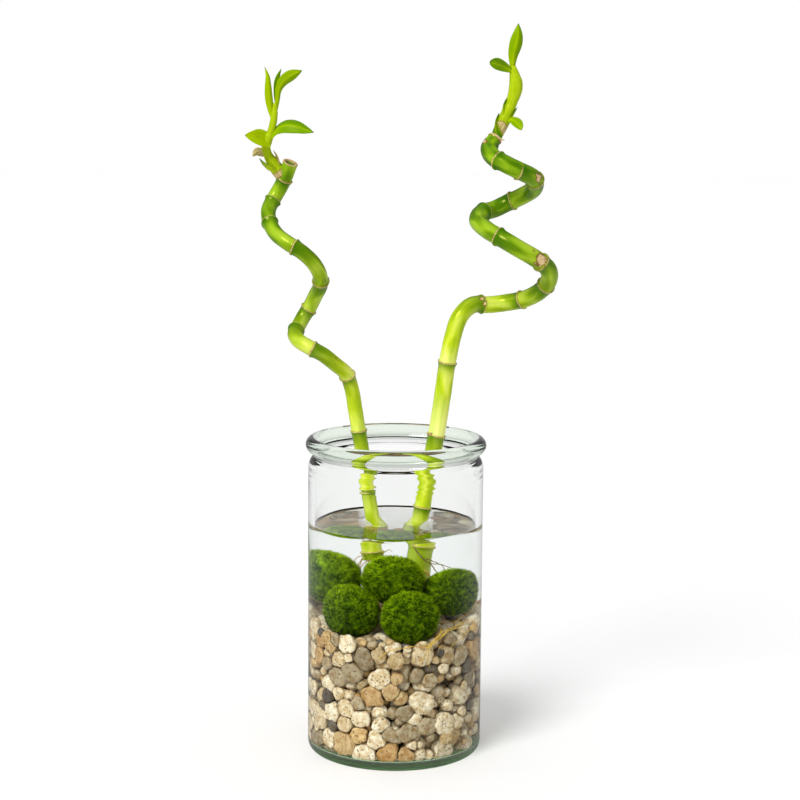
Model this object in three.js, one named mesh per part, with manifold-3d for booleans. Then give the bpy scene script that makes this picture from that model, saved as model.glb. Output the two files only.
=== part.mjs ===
// Lucky bamboo: two spiral canes with young shoots, standing in a glass jar of water, moss balls and
// pebbles. Millimetres, +Z up. The origin is the middle of the jar's underside.
import * as THREE from 'three';
import { mergeVertices } from 'three/addons/utils/BufferGeometryUtils.js';
import Module from 'manifold-3d';

const wasm = await Module();
wasm.setup();

// Jar
const jarHeight = 195;
const jarRadius = 53.4;
const jarWall = 3.8;
const baseThickness = 5;
const innerCorner = 5;
const beadRadius = 55;
const neckRadius = 47.5;
const waistRadius = 50.3;
const jarSides = 32;

// What stands in the jar keeps this distance from its neighbours
const gap = 0.3;
const cavityRadius = (jarRadius - jarWall) * Math.cos(Math.PI / jarSides) - gap;

// Fill: a tilted pebble bed under level water
const waterLevel = 141;
const bedMiddle = 83;
const bedSlope = 0.14;
const pebbleSize = 9.2;
const footStone = 6.2;
const wellFloor = 76;
const wellRadius = 8.5;
const wellRise = 11;

// Canes: foot to tip, with the height along the cane of each node ring
const ringHeight = 0.9;
const caneSides = 10;
const caneLeft = {
  radius: 4.5,
  roots: { spread: 5.2, count: 7, seed: 3 },
  rings: [5, 42, 79, 116, 148, 172, 189, 215, 247, 273, 292, 307],
  route: [
    [-9.3, 13.5, 119], [-10.8, 13.8, 130], [-14.2, 14, 141], [-16.4, 14, 153], [-20, 13.5, 178],
    [-23.1, 13, 196.5], [-25.3, 11.8, 210], [-27.2, 9, 222], [-30.5, 4.5, 232.5], [-36.5, -3, 239],
    [-44, -8.5, 245.8], [-52, -9.3, 250.3], [-58.5, -5, 253.5], [-61.7, 2, 257], [-60, 9.5, 261],
    [-57, 13.5, 266.5], [-53.5, 13.5, 272], [-49.5, 8.5, 280], [-46.3, 1, 287], [-46.5, -7, 294.5],
    [-50, -12.8, 301.5], [-56.5, -15.7, 308], [-64.5, -14.5, 313], [-72, -8.7, 318], [-76.8, 0, 325],
    [-77.8, 8, 331.5], [-75, 13, 338], [-71.5, 14, 344], [-68.5, 12.5, 350], [-64.6, 9, 360],
  ],
};
const caneRight = {
  radius: 5.2,
  roots: { spread: 6.6, count: 6, seed: 5 },
  rings: [44, 66, 112, 158, 205, 232, 255, 280, 311, 348, 369, 400, 415, 429],
  route: [
    [9.3, 15, 84], [9.8, 14.8, 108], [11.8, 14.5, 126], [15.4, 14, 141], [19.5, 13.5, 167],
    [24.7, 12.5, 194], [28, 11.5, 217], [31.2, 10, 241], [34.2, 9.3, 256], [38.5, 10, 268],
    [46, 15, 274.2], [56.5, 20, 274], [66, 20, 275.2], [76, 14.5, 277.7], [85, 5.5, 283],
    [90.6, -4, 291], [89.5, -13.5, 299], [82, -20, 305.5], [72.5, -22.5, 311], [62, -19.5, 317],
    [53, -11.5, 321.8], [48, 0, 326.5], [50.5, 10, 330.5], [58.5, 17, 332.5], [67, 18, 336.5],
    [75.5, 13, 341], [81.5, 4, 346], [80.5, -7, 352.2], [72.5, -14, 356.5], [63, -15.5, 361],
    [56.3, -11, 364.5], [54, -3, 369.3], [55.8, 1, 373], [58.4, 3, 376.3],
  ],
};

// Moss balls: middle and radius
const mossBalls = {
  moss_ball_front_left: { middle: [-23.6, -22.5, 93], radius: 16.2 },
  moss_ball_front_middle: { middle: [8.5, -31.8, 91.5], radius: 16.2 },
  moss_ball_top: { middle: [-1.2, -7.4, 110], radius: 15.2 },
  moss_ball_right: { middle: [27, -2, 101], radius: 14.6 },
  moss_ball_rear_left: { middle: [-31, 5.8, 108.3], radius: 16.5 },
};
const raisedBalls = [mossBalls.moss_ball_right, mossBalls.moss_ball_rear_left];

const glass = new THREE.MeshStandardMaterial({
  color: 0xd7e6dd, roughness: 0.05, metalness: 0, transparent: true, opacity: 0.3,
});
const clearWater = new THREE.MeshStandardMaterial({
  color: 0xdce9e4, roughness: 0.02, metalness: 0, transparent: true, opacity: 0.35,
});
const pebbleStone = new THREE.MeshStandardMaterial({ color: 0xc4b596, roughness: 0.6, metalness: 0 });
const moss = new THREE.MeshStandardMaterial({ color: 0x4f7d12, roughness: 0.95, metalness: 0 });
const caneSkin = new THREE.MeshStandardMaterial({ color: 0x86ab1a, roughness: 0.35, metalness: 0 });
const shootSkin = new THREE.MeshStandardMaterial({ color: 0xa9c22a, roughness: 0.45, metalness: 0 });
const leafSkin = new THREE.MeshStandardMaterial({ color: 0x7fa613, roughness: 0.4, metalness: 0 });

const group = new THREE.Group();

function solidOf(geometry) {
  geometry.deleteAttribute('normal');
  geometry.deleteAttribute('uv');
  const merged = mergeVertices(geometry, 1e-4);
  return new wasm.Manifold(new wasm.Mesh({
    numProp: 3,
    vertProperties: new Float32Array(merged.attributes.position.array),
    triVerts: new Uint32Array(merged.index.array),
  }));
}

// The largest body of a cut or fused solid, without scraps or sealed pockets
function mainBody(solid) {
  return solid.decompose().sort((a, b) => b.volume() - a.volume())[0];
}

function addPiece(name, solid, material) {
  const mesh = mainBody(solid).getMesh();
  const geometry = new THREE.BufferGeometry();
  geometry.setAttribute('position', new THREE.BufferAttribute(mesh.vertProperties, 3));
  geometry.setIndex(new THREE.BufferAttribute(mesh.triVerts, 1));
  geometry.computeVertexNormals();
  const piece = new THREE.Mesh(geometry, material);
  piece.name = name;
  group.add(piece);
}

// Seeded random numbers from 0 to 1
function seededRandom(seed) {
  let state = seed;
  return () => {
    state = (state + 0x6d2b79f5) | 0;
    let t = Math.imul(state ^ (state >>> 15), 1 | state);
    t = (t + Math.imul(t ^ (t >>> 7), 61 | t)) ^ t;
    return ((t ^ (t >>> 14)) >>> 0) / 4294967296;
  };
}

function smoothRoute(points) {
  return new THREE.CatmullRomCurve3(points.map((p) => new THREE.Vector3(...p)), false, 'centripetal');
}

// Bends a straight upright piece (Y from 0 to the route's length) along a route
function bendAlong(geometry, route) {
  const length = route.getLength();
  const steps = 240;
  const frames = route.computeFrenetFrames(steps, false);
  const position = geometry.attributes.position;
  for (let i = 0; i < position.count; i++) {
    const along = position.getY(i);
    const t = THREE.MathUtils.clamp(along / length, 0, 1);
    const k = Math.min(Math.floor(t * steps), steps - 1);
    const blend = t * steps - k;
    const normal = frames.normals[k].clone().lerp(frames.normals[k + 1], blend).normalize();
    const across = frames.binormals[k].clone().lerp(frames.binormals[k + 1], blend).normalize();
    const point = route.getPointAt(t);
    point.addScaledVector(route.getTangentAt(t), along - t * length);
    point.addScaledVector(normal, position.getX(i));
    point.addScaledVector(across, -position.getZ(i));
    position.setXYZ(i, point.x, point.y, point.z);
  }
  return geometry;
}

// A round stem along a route, turned from a profile of [height along it, radius]
function bentStem(route, profile, sides) {
  const outline = profile.map(([along, radius]) => new THREE.Vector2(radius, along));
  return solidOf(bendAlong(new THREE.LatheGeometry(outline, sides), route));
}

function uprightCylinder(x, y, low, high, radius, sides) {
  const geometry = new THREE.CylinderGeometry(radius, radius, high - low, sides);
  geometry.rotateX(Math.PI / 2);
  geometry.translate(x, y, (low + high) / 2);
  return geometry;
}

function bedTop(y) {
  return bedMiddle + bedSlope * y;
}

// A round block on the jar's axis whose bottom and top may slope from front to back
function slopedBlock(radius, sides, bottomAt, topAt) {
  const geometry = uprightCylinder(0, 0, -1, 1, radius, sides);
  const position = geometry.attributes.position;
  for (let i = 0; i < position.count; i++) {
    const y = position.getY(i);
    position.setZ(i, position.getZ(i) > 0 ? topAt(y) : bottomAt(y));
  }
  return solidOf(geometry);
}

// Jar: one closed profile turned about the axis
function jarSolid() {
  const baseCorner = 6;
  const inner = jarRadius - jarWall;
  const beadHalf = 4.6;
  const beadMiddle = jarHeight - beadHalf;
  const waistZ = 183.5;
  const shoulderZ = waistZ - 8;
  const profile = new THREE.Path();
  profile.moveTo(0, 0);
  profile.lineTo(jarRadius - baseCorner, 0);
  profile.quadraticCurveTo(jarRadius, 0, jarRadius, baseCorner);
  profile.lineTo(jarRadius, shoulderZ);
  profile.quadraticCurveTo(jarRadius, shoulderZ + 5, waistRadius, waistZ);
  profile.absarc(beadRadius - beadHalf, beadMiddle, beadHalf, -0.42 * Math.PI, Math.PI / 2, false);
  profile.quadraticCurveTo(neckRadius, jarHeight - 0.5, neckRadius, beadMiddle);
  profile.lineTo(neckRadius, waistZ);
  profile.quadraticCurveTo(neckRadius, waistZ - 6, inner, shoulderZ - 2);
  profile.lineTo(inner, baseThickness + innerCorner);
  profile.quadraticCurveTo(inner, baseThickness, inner - innerCorner, baseThickness);
  profile.lineTo(0, baseThickness);
  const geometry = new THREE.LatheGeometry(profile.getPoints(2), jarSides);
  geometry.rotateX(Math.PI / 2);
  return solidOf(geometry);
}

// A cane: swollen at each node, with a raised ring there
function caneProfile(cane, ending) {
  const profile = [[0, 0], [0, cane.radius - 0.6]];
  const spacing = 8;
  const fillUpTo = (height) => {
    const last = profile.at(-1)[0];
    const count = Math.max(1, Math.round((height - last) / spacing));
    for (let i = 1; i < count; i++) profile.push([last + ((height - last) * i) / count, cane.radius]);
  };
  for (const ring of cane.rings) {
    fillUpTo(ring - 3);
    profile.push([ring - 3, cane.radius + 0.2]);
    profile.push([ring - 0.8, cane.radius + ringHeight]);
    profile.push([ring + 0.4, cane.radius + ringHeight]);
    profile.push([ring + 1.2, cane.radius]);
  }
  fillUpTo(ending[0][0]);
  return profile.concat(ending);
}

function hollowEnd(length, radius) {
  const depth = 7;
  return [
    [length - 6, radius],
    [length, radius + 0.2],
    [length, radius - 1.2],
    [length - depth, radius - 1.4],
    [length - depth, 0],
  ];
}

function shoulderEnd(length, radius) {
  return [
    [length - 7, radius - 0.2],
    [length - 3.2, radius - 0.9],
    [length - 2, radius - 0.6],
    [length - 0.8, radius - 0.8],
    [length, radius - 1.8],
    [length, 0],
  ];
}

// Roots: thin tapering tubes from the cane's foot down to the floor of its well
function rootSolids(foot, { spread, count, seed }) {
  const random = seededRandom(seed);
  const rootFloor = wellFloor + gap;
  const solids = [];
  for (let i = 0; i < count; i++) {
    const angle = (i + 0.6 * random()) * (2 * Math.PI / count);
    const rise = 1 + 4 * random();
    const reach = spread * (0.8 + 0.2 * random());
    const end = spread * (0.5 + 0.4 * random());
    const start = foot[2] + rise;
    const side = (distance, height, turn) => [
      foot[0] + distance * Math.cos(angle + turn),
      foot[1] + distance * Math.sin(angle + turn),
      height,
    ];
    const route = smoothRoute([
      side(1.5, start + 1, 0),
      side(reach, start - 5, 0.2),
      side(reach, start + (rootFloor - start) * 0.6, 0.5 * random()),
      side(end, rootFloor, 0.5),
    ]);
    const length = route.getLength();
    const root = new THREE.CylinderGeometry(0.55, 0.85, length, 5, 5);
    root.translate(0, length / 2, 0);
    solids.push(solidOf(bendAlong(root, route)));
  }
  return solids;
}

// A leaf blade of even thickness, folded along its midrib and closed at both ends. It is widest at
// belly along its path, starts at foot of its width, and neck and tip set how it narrows each way.
function bladeSolid(shape, extra = 0) {
  const { path, width, across, fold = 0.3, stations = 8 } = shape;
  const { belly = 0.45, foot = 0.35, neck = 1, tip = 0.85 } = shape;
  const lanes = 4;
  const thickness = 0.8 + 2 * extra;
  const tipHalf = 0.35;
  const route = smoothRoute(path);
  const loop = 2 * (lanes + 1);
  const points = [];
  for (let i = 0; i <= stations; i++) {
    const t = i / stations;
    const rising = foot + (1 - foot) * Math.sin((Math.PI / 2) * Math.min(1, t / belly)) ** neck;
    const falling = Math.cos((Math.PI / 2) * Math.max(0, (t - belly) / (1 - belly))) ** tip;
    const half = Math.max(tipHalf, (width / 2) * Math.min(rising, falling)) + extra;
    const point = route.getPointAt(t);
    const tangent = route.getTangentAt(t);
    const side = new THREE.Vector3(...across);
    side.addScaledVector(tangent, -side.dot(tangent)).normalize();
    const up = tangent.clone().cross(side);
    const ring = [];
    for (const face of [1, -1]) {
      for (let j = 0; j <= lanes; j++) {
        const v = face * ((2 * j) / lanes - 1);
        const corner = point.clone().addScaledVector(side, v * half);
        corner.addScaledVector(up, fold * Math.abs(v) * half + (face * thickness) / 2);
        ring.push(corner);
      }
    }
    points.push(...ring);
  }
  const triangles = [];
  for (let i = 0; i < stations; i++) {
    for (let k = 0; k < loop; k++) {
      const a = i * loop + k;
      const b = i * loop + ((k + 1) % loop);
      const onTop = k <= lanes;
      if (onTop) triangles.push(a, a + loop, b + loop, a, b + loop, b);
      else triangles.push(a, a + loop, b, b, a + loop, b + loop);
    }
  }
  const end = stations * loop;
  for (let j = 0; j < lanes; j++) {
    const under = loop - 1 - j;
    triangles.push(j, j + 1, under, j + 1, under - 1, under);
    triangles.push(end + j, end + under, end + j + 1, end + j + 1, end + under, end + under - 1);
  }
  const geometry = new THREE.BufferGeometry();
  geometry.setAttribute('position', new THREE.Float32BufferAttribute(points.flatMap((p) => p.toArray()), 3));
  geometry.setIndex(triangles);
  return solidOf(geometry);
}

// Pebbles: uneven twenty-sided stones round a core, pushed clear of the glass and of the moss balls
function pebbleBed(holes) {
  const random = seededRandom(41);
  const coreDepth = 9;
  const floor = baseThickness + gap;
  const core = slopedBlock(cavityRadius - coreDepth, 24, () => floor, (y) => bedTop(y) - 6);
  const stones = [core];

  const insideRadius = (z) => {
    const corner = innerCorner + gap;
    const drop = Math.max(0, baseThickness + corner - z);
    return cavityRadius - corner + Math.sqrt(Math.max(0, corner * corner - drop * drop));
  };
  const underBalls = ({ x, y }) => {
    let lowest = Infinity;
    for (const { middle, radius } of Object.values(mossBalls)) {
      const clear = radius + 3 * gap;
      const aside = Math.hypot(x - middle[0], y - middle[1]);
      if (aside < clear) lowest = Math.min(lowest, middle[2] - Math.sqrt(clear * clear - aside * aside));
    }
    return lowest;
  };
  const stone = (x, y, z, size, flat, top = bedTop) => {
    const geometry = new THREE.IcosahedronGeometry(1, 0);
    geometry.scale(size * (1 + 0.35 * random()), size * (0.8 + 0.2 * random()), size * flat);
    geometry.rotateX(random() * 1.2 - 0.6);
    geometry.rotateY(random() * 1.2 - 0.6);
    geometry.rotateZ(random() * 6.3);
    const place = new THREE.Vector3(x, y, z);
    const point = new THREE.Vector3();
    const position = geometry.attributes.position;
    for (let round = 0; round < 4; round++) {
      let inward = 0;
      let down = 0;
      let up = 0;
      for (let i = 0; i < position.count; i++) {
        point.fromBufferAttribute(position, i).add(place);
        inward = Math.max(inward, Math.hypot(point.x, point.y) - insideRadius(point.z));
        down = Math.max(down, point.z - Math.min(top(point.y), underBalls(point)));
        up = Math.max(up, floor - point.z);
      }
      const reach = Math.max(1, Math.hypot(place.x, place.y));
      place.x -= (place.x / reach) * inward;
      place.y -= (place.y / reach) * inward;
      place.z += up > 0 ? up : -down;
    }
    geometry.translate(place.x, place.y, place.z);
    stones.push(solidOf(geometry));
  };

  const rowRise = pebbleSize * 1.2;
  const perRow = 15;
  for (let row = 0; row < 8; row++) {
    for (let i = 0; i < perRow; i++) {
      const angle = ((i + 0.5 * (row % 2) + 0.3 * random()) * 2 * Math.PI) / perRow;
      const reach = cavityRadius - pebbleSize * 0.75;
      const z = baseThickness + 0.8 * pebbleSize + row * rowRise + 2 * random();
      const y = reach * Math.sin(angle);
      if (z < bedTop(y) - 1) stone(reach * Math.cos(angle), y, z, pebbleSize * (0.85 + 0.3 * random()), 0.8);
    }
  }
  const spacing = pebbleSize * 1.8;
  for (let i = -4; i <= 4; i++) {
    for (let j = -4; j <= 4; j++) {
      const x = (i + 0.5 * (j & 1)) * spacing + 2 * random();
      const y = j * spacing * 0.87 + 2 * random();
      if (Math.hypot(x, y) > cavityRadius - pebbleSize) continue;
      stone(x, y, bedTop(y) - pebbleSize * 0.6, pebbleSize * (0.9 + 0.25 * random()), 0.75);
    }
  }
  for (const { middle } of raisedBalls) {
    const [x, y, z] = middle;
    stone(x, y, z, footStone, 1.15, () => z);
  }
  let bed = wasm.Manifold.union(stones);
  for (const hole of holes) bed = bed.subtract(hole);
  return bed;
}

// A stretch of a cane, thicker by the gap, that cuts the hole it stands in
function grown(cane, from, to) {
  const route = smoothRoute(cane.route);
  const radius = cane.radius + ringHeight + gap;
  const steps = Math.max(2, Math.round((to - from) / 9));
  const profile = [[from, 0]];
  for (let i = 0; i <= steps; i++) profile.push([from + ((to - from) * i) / steps, radius]);
  profile.push([to, 0]);
  return bentStem(route, profile, 12);
}

// A well for each cane's roots, from the pebbles up to just over its foot
function rootWell([x, y, foot]) {
  return solidOf(uprightCylinder(x, y, wellFloor, foot + wellRise, wellRadius, 16));
}
const wells = [rootWell(caneLeft.route[0]), rootWell(caneRight.route[0])];

addPiece('jar', jarSolid(), glass);

const holes = [...wells, grown(caneLeft, -gap, 40), grown(caneRight, -gap, 80)];
addPiece('pebble_bed', pebbleBed(holes), pebbleStone);

// Water: a cylinder over the tilted bed, with a pocket for each moss ball and plain holes for the canes
function waterSolid() {
  let water = slopedBlock(cavityRadius, jarSides, (y) => bedTop(y) + gap, () => waterLevel);
  for (const hole of holes) water = water.subtract(hole);
  for (const { middle, radius } of Object.values(mossBalls)) {
    const pocket = new THREE.IcosahedronGeometry(radius + 1.5, 1);
    pocket.translate(...middle);
    water = water.subtract(solidOf(pocket));
  }
  for (const { middle, radius } of raisedBalls) {
    const [x, y, z] = middle;
    const stoneWell = uprightCylinder(x, y, wellFloor, z - radius * 0.8, footStone * 1.5, 12);
    water = water.subtract(solidOf(stoneWell));
  }
  return water;
}
addPiece('water', waterSolid(), clearWater);

// Moss balls: rounded tufts raised by a seeded rule
function mossBall({ middle, radius }, seed) {
  const random = seededRandom(seed);
  const tuftDepth = 1.1;
  const geometry = new THREE.IcosahedronGeometry(1, 3);
  geometry.deleteAttribute('normal');
  geometry.deleteAttribute('uv');
  const ball = mergeVertices(geometry, 1e-4);
  const position = ball.attributes.position;
  for (let i = 0; i < position.count; i++) {
    const reach = radius - tuftDepth * random();
    position.setXYZ(i, position.getX(i) * reach, position.getY(i) * reach, position.getZ(i) * reach);
  }
  ball.translate(...middle);
  return solidOf(ball);
}
Object.entries(mossBalls).forEach(([name, ball], i) => addPiece(name, mossBall(ball, 7 + i), moss));

// Canes with their roots
function caneSolid(cane, endOf) {
  const route = smoothRoute(cane.route);
  const profile = caneProfile(cane, endOf(route.getLength(), cane.radius));
  const stem = bentStem(route, profile, caneSides);
  return wasm.Manifold.union([stem, ...rootSolids(cane.route[0], cane.roots)]);
}
addPiece('cane_left', caneSolid(caneLeft, hollowEnd), caneSkin);
addPiece('cane_right', caneSolid(caneRight, shoulderEnd), caneSkin);

// Shoots: a stem of rolled sheaths, each with its mouth stepped in, and the bracts grown on it
const shootLeft = {
  route: [
    [-69.5, 12, 351], [-75.3, 10, 359.5], [-78.2, 9, 364.3], [-79.3, 8, 369.1], [-78.4, 7.5, 373.3],
    [-76.2, 7, 378.6], [-74.7, 6.5, 384.6], [-74.1, 6.5, 390.5], [-73.8, 6.5, 395.2],
  ],
  profile: [
    [0, 3.6], [0.1, 4.1], [0.24, 3.8], [0.27, 3.2], [0.34, 2.7], [0.42, 2.6], [0.5, 3.1], [0.58, 2.9],
    [0.61, 2.2], [0.75, 2.2], [0.88, 2.1], [1, 1.4],
  ],
  bracts: [
    {
      path: [[-75.6, 6.6, 357.9], [-79.8, 5.6, 359.9], [-83.2, 5, 362.6]], width: 6,
      across: [0.5, 0.6, -0.6],
    },
    { path: [[-72.5, 9, 359.5], [-73.4, 8, 363.4], [-75, 8, 367.4]], width: 4, across: [0.3, -1, 0] },
    { path: [[-79.5, 8, 365.3], [-84, 5.5, 366.4], [-87.1, 3, 363.6]], width: 5, across: [0.3, 0.9, 0.3] },
  ],
};
const shootRight = {
  route: [
    [57.6, 2.6, 374.6], [59.7, 3, 379.2], [62, 3, 384.5], [64.9, 3, 391], [67.4, 3, 397.5],
    [69.1, 3, 402.8], [69.6, 3, 407.5], [68.7, 3, 412.8], [67.5, 3, 418.1],
  ],
  profile: [
    [0, 3.1], [0.1, 3.5], [0.2, 3.9], [0.3, 4.1], [0.33, 3.6], [0.45, 3.8], [0.48, 3.4], [0.6, 3.7],
    [0.7, 4.2], [0.8, 4], [0.9, 2.9], [1, 1.9],
  ],
  bracts: [
    { path: [[59.6, 1.4, 379], [59, 1, 384.5], [59.8, 1.2, 390.6]], width: 5.5, across: [0.3, 1, 0] },
    { path: [[63.6, 1.6, 389.5], [63.4, 1, 394.4], [64.1, 1, 399.3]], width: 5, across: [0.3, 1, 0] },
    { path: [[66.8, 2, 386], [69.1, 1.6, 390.4], [70.8, 1.6, 394.2]], width: 4.5, across: [0, 1, 0] },
    { path: [[59, 1, 376.4], [61.6, -1, 374.4], [63.4, -2, 374.9]], width: 1.6, across: [0, 0.8, 0.6] },
  ],
};

function shootSolid(shoot, extra = 0) {
  const route = smoothRoute(shoot.route);
  const length = route.getLength();
  const profile = shoot.profile.map(([t, radius]) => [t * length, radius + extra]);
  const stem = bentStem(route, [[0, 0], ...profile, [length, 0]], 9);
  const bract = { fold: 0.35, stations: 5, foot: 0.6 };
  const bracts = shoot.bracts.map((shape) => bladeSolid({ ...bract, ...shape }, extra));
  return wasm.Manifold.union([stem, ...bracts]);
}

function caneEnd(cane) {
  const length = smoothRoute(cane.route).getLength();
  return grown(cane, length - 24, length + gap);
}
addPiece('shoot_left', shootSolid(shootLeft).subtract(caneEnd(caneLeft)), shootSkin);
addPiece('shoot_right', shootSolid(shootRight).subtract(caneEnd(caneRight)), shootSkin);

// Leaves: each blade clasps its shoot at a small gap
const leaves = {
  leaf_left_low: {
    shoot: shootLeft, width: 11.4, across: [-0.1, 0.45, 0.9], fold: -0.35, belly: 0.35, foot: 0.85, tip: 0.7,
    path: [[-78.5, 6, 372.4], [-82.4, 2.6, 373.8], [-86.6, -1, 374.8], [-91, -3.5, 376.2]],
  },
  leaf_left_arching: {
    shoot: shootLeft, width: 9.5, across: [0.1, 0.55, 0.83], fold: -0.3, belly: 0.5, foot: 0.35,
    path: [
      [-76.6, 6, 374.5], [-73, 4.6, 379.6], [-67.6, 2.6, 382.2], [-60.9, 0.4, 381.8], [-54.9, -1, 379.8],
      [-50.2, -2, 378.2],
    ],
  },
  leaf_left_upright: {
    shoot: shootLeft, width: 5, across: [0.9, 0.45, 0], fold: 0.5, belly: 0.4, foot: 0.5,
    path: [
      [-74.8, 5.6, 386], [-76, 4.5, 392.3], [-76.8, 3, 398.8], [-77.2, 2.5, 405.2], [-77.7, 3, 411.1],
      [-79.7, 4, 416.5],
    ],
  },
  leaf_left_spear: {
    shoot: shootLeft, width: 7, across: [0.55, 0.35, -0.8], fold: 0.3, belly: 0.7, foot: 0.42, neck: 4,
    path: [
      [-73.4, 6.5, 391], [-72.1, 6.5, 397.5], [-71.5, 6, 402.9], [-69.2, 5, 407.4], [-64.2, 2, 411.2],
      [-57.3, -1, 414.4],
    ],
  },
  leaf_left_tip: {
    shoot: shootLeft, width: 4, across: [0.8, 0.6, 0], fold: 0.4, belly: 0.5, foot: 0.5,
    path: [[-72.9, 8.8, 394.5], [-72.8, 9.4, 402], [-72.2, 9.8, 409.4], [-70.2, 10.6, 415.6]],
  },
  leaf_right_top: {
    shoot: shootRight, width: 7.8, across: [1, 0.15, 0], fold: 0.35, belly: 0.55, foot: 0.42, neck: 1.5,
    path: [[67.5, 3, 417], [67.8, 2.4, 423.9], [69.2, 1.8, 430.3], [70.3, 2.5, 436.8], [70.6, 4, 443]],
  },
  leaf_right_side: {
    shoot: shootRight, width: 7, across: [0.35, 0.2, 0.9], fold: -0.25, belly: 0.7, foot: 0.3, tip: 0.5,
    path: [[67.6, 2, 414.8], [62.1, -1.6, 417.4], [57.7, -5.4, 419.1], [53.2, -8.6, 420]],
  },
  leaf_right_low: {
    shoot: shootRight, width: 6.2, across: [0.6, 0.4, 0.6], fold: 0.3, belly: 0.6, foot: 0.45, tip: 0.55,
    path: [[65, 1, 387], [69.1, -2.8, 385.4], [71.3, -5.8, 383], [72.6, -7.8, 380.6]],
  },
};
for (const [name, { shoot, ...blade }] of Object.entries(leaves)) {
  addPiece(name, bladeSolid(blade).subtract(shootSolid(shoot, gap)), leafSkin);
}

export default group;
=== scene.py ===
"""Looks of a lucky bamboo: two spiral canes with young shoots, standing in a glass jar of water, moss
balls and pebbles. Lengths are millimetres until a piece is made. +Z is up and the middle of the jar's
underside is the origin."""

import math

import bmesh
import bpy
import numpy as np
from mathutils import Matrix


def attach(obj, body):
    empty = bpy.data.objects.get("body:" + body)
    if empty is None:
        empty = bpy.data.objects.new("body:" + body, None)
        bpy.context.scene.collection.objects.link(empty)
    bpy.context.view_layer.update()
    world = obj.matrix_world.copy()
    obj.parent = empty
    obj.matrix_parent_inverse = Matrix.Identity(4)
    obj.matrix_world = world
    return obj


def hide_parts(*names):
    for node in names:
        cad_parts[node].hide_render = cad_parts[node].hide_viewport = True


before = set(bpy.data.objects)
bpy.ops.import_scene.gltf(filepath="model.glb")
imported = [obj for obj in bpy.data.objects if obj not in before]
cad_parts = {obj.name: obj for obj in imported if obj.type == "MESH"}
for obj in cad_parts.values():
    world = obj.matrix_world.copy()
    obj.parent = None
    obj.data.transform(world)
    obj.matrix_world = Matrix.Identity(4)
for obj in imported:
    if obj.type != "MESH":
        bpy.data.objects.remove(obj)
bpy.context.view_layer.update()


# Jar: one wall of clear pressed glass with a rolled rim, a short waist under it and a thick base.
# It stands on its flat underside and holds everything else.
def bent(start, corner, end, steps=10):
    """A rounded corner of a profile"""
    t = np.linspace(0, 1, steps)[:, None]
    start, corner, end = np.array([start, corner, end], float)
    return (1 - t) ** 2 * start + 2 * t * (1 - t) * corner + t**2 * end


def upright(radius, low, high, steps):
    """A straight stretch of a profile"""
    return np.stack([np.full(steps, float(radius)), np.linspace(low, high, steps)], axis=1)


def turns(sides):
    """The angle of each point of a ring"""
    return np.linspace(0, 2 * math.pi, sides, endpoint=False)


def turned(profile, sides):
    """A row of points round the upright axis for each radius and height of a profile"""
    turn = turns(sides)
    radius, height = np.array(profile, float).T[:, :, None]
    return np.stack([radius * np.cos(turn), radius * np.sin(turn), height + 0 * turn], axis=-1)


def closed_skin(rows):
    """Points and faces of a closed skin over rows of points, with a fan over each end"""
    count, sides = rows.shape[:2]
    points = np.vstack([rows.reshape(-1, 3), rows[0].mean(0), rows[-1].mean(0)])
    here = np.arange(sides)
    after = (here + 1) % sides
    row = np.arange(count - 1)[:, None] * sides
    quads = np.stack([row + here, row + after, row + sides + after, row + sides + here], axis=-1)
    end = (count - 1) * sides
    first_fan = np.stack([here * 0 + count * sides, after, here], axis=1)
    last_fan = np.stack([here * 0 + count * sides + 1, end + here, end + after], axis=1)
    return points, [quads.reshape(-1, 4), np.vstack([first_fan, last_fan])]


def wobble(points, size, seed):
    """Smooth seeded unevenness from about -1 to 1 with bumps of about this size"""
    random = np.random.default_rng(seed)
    waves = random.normal(size=(3, 14)) * 2 / size
    return np.sin(points @ waves + random.uniform(0, 6.3, 14)).sum(axis=-1) / 4


def new_object(name, data):
    """An object in the scene"""
    made = bpy.data.objects.new(name, data)
    bpy.context.scene.collection.objects.link(made)
    return made


def make_piece(name, points, faces, material, slot, node):
    """A smooth piece of the object's one body, with its material, standing in for the node it hides. The
    slot is not used.
    """
    mesh = bpy.data.meshes.new(name)
    corners = np.concatenate([part.ravel() for part in faces])
    sizes = np.concatenate([np.full(len(part), part.shape[1]) for part in faces])
    mesh.vertices.add(len(points))
    mesh.vertices.foreach_set("co", (points * 0.001).ravel())
    mesh.loops.add(len(corners))
    mesh.loops.foreach_set("vertex_index", corners)
    mesh.polygons.add(len(sizes))
    mesh.polygons.foreach_set("loop_start", np.cumsum(sizes) - sizes)
    mesh.update(calc_edges=True)
    mesh.shade_smooth()
    mesh.materials.append(material)
    piece = new_object(name, mesh)
    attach(piece, "root")
    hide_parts(node)
    return piece


def plug(tree, socket, value):
    """Links a node's output to a socket, or sets the socket to a value"""
    if isinstance(value, bpy.types.NodeSocket):
        tree.links.new(value, socket)
    else:
        socket.default_value = value


def add_node(tree, kind, **given):
    """A shader node. A name in capitals is a socket, with _ for a space, and any other is a setting."""
    made = tree.nodes.new("ShaderNode" + kind)
    for name, value in given.items():
        if name[0].isupper():
            plug(tree, made.inputs[name.replace("_", " ")], value)
        else:
            setattr(made, name, value)
    return made


def new_material(name, **given):
    """A material with the sockets given, its nodes and its surface shader"""
    material = bpy.data.materials.new(name)
    material.use_nodes = True
    tree = material.node_tree
    surface = tree.nodes["Principled BSDF"]
    for socket, value in given.items():
        plug(tree, surface.inputs[socket.replace("_", " ")], value)
    return material, tree, surface


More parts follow.
